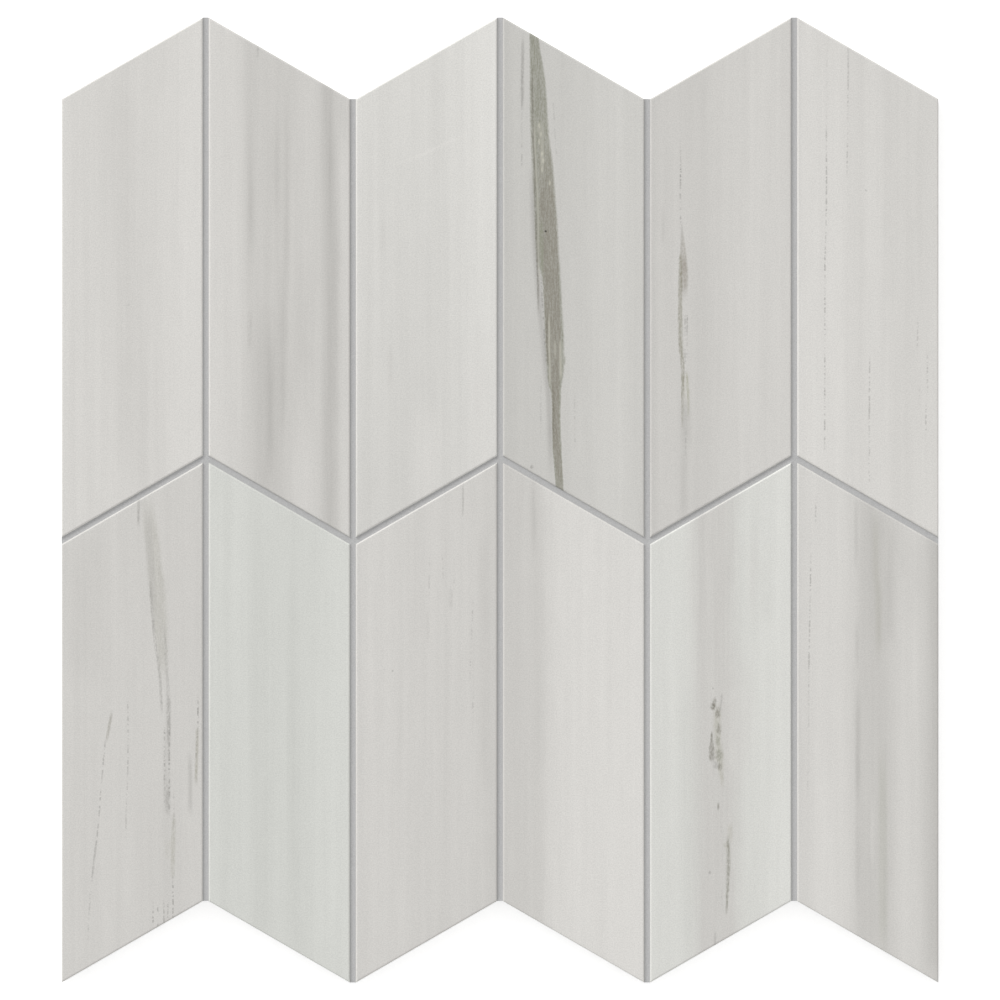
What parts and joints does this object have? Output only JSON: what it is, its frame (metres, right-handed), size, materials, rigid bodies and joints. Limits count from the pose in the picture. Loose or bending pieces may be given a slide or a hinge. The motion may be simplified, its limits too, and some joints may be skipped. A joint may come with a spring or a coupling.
{
  "type": "chevron mosaic tile sheet",
  "caption": "Flat sheet of pale grey stone-look porcelain chevron tiles on a glass-fibre backing mesh, with light grey grouted joints and zigzag ends that nest into the next sheet.",
  "frame": {"origin": "under the middle of the sheet's outline, on the underside of the backing mesh", "axes": "+Z out of the tile faces, +Y along the tiles' long edges, +X across the columns"},
  "size_m": [0.298, 0.328, 0.0096],
  "materials": {
    "tile": "matte stone-look print",
    "grout": "fine sanded cement",
    "mesh": "coated glass fibre"
  },
  "bodies": {
    "root": {"tile_upper_1": "tile", "tile_upper_2": "tile", "tile_upper_3": "tile", "tile_upper_4": "tile", "tile_upper_5": "tile", "tile_upper_6": "tile", "tile_lower_1": "tile", "tile_lower_2": "tile", "tile_lower_3": "tile", "tile_lower_4": "tile", "tile_lower_5": "tile", "tile_lower_6": "tile", "joint_grout": "grout", "backing_mesh": "mesh"}
  },
  "joints": []
}
